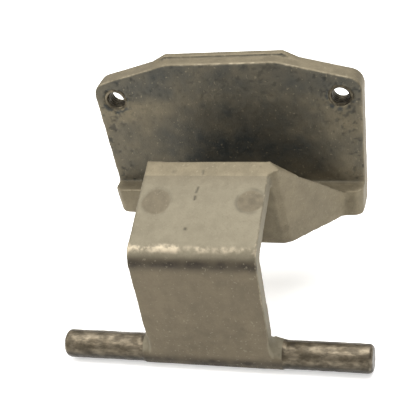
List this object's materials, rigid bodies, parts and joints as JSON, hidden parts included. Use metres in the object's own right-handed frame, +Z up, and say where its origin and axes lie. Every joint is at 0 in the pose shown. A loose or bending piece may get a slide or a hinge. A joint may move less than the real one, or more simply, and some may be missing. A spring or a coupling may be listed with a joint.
{
  "type": "door hinge",
  "caption": "Cast door hinge half: a flat leaf with tapped mounting holes, a bent gooseneck arm and a round cross pin that turns in sockets.",
  "frame": {"origin": "on the cross pin's axis, at the middle of its length", "axes": "+X along the pin, +Y from the pin towards the leaf's back face, +Z up along the leaf"},
  "size_m": [0.07, 0.0456, 0.0555],
  "materials": {
    "cast_pin_left": "worn bare metal, streaked along the pin",
    "cast_pin_right": "worn bare metal, streaked along the pin",
    "cast_arm_foot": "bare casting, rubbed along the pin",
    "cast_arm_leg": "bare casting, brownish grey",
    "cast_arm_bend": "bare casting, rubbed bright along the crest",
    "cast_arm_top": "bare casting, light and fine grained",
    "cast_riser": "bare casting, brownish grey",
    "cast_gusset_left": "bare casting, brownish grey",
    "cast_gusset_right": "bare casting, brownish grey",
    "cast_shelf": "bare casting, brownish grey",
    "cast_mounting_leaf": "bare casting, dark and pitted, with rubbed bright edges"
  },
  "bodies": {
    "root": {"pin_left": "cast_pin_left", "pin_right": "cast_pin_right", "arm_foot": "cast_arm_foot", "arm_leg": "cast_arm_leg", "arm_bend": "cast_arm_bend", "arm_top": "cast_arm_top", "riser": "cast_riser", "gusset_left": "cast_gusset_left", "gusset_right": "cast_gusset_right", "shelf": "cast_shelf", "mounting_leaf": "cast_mounting_leaf"}
  },
  "joints": []
}
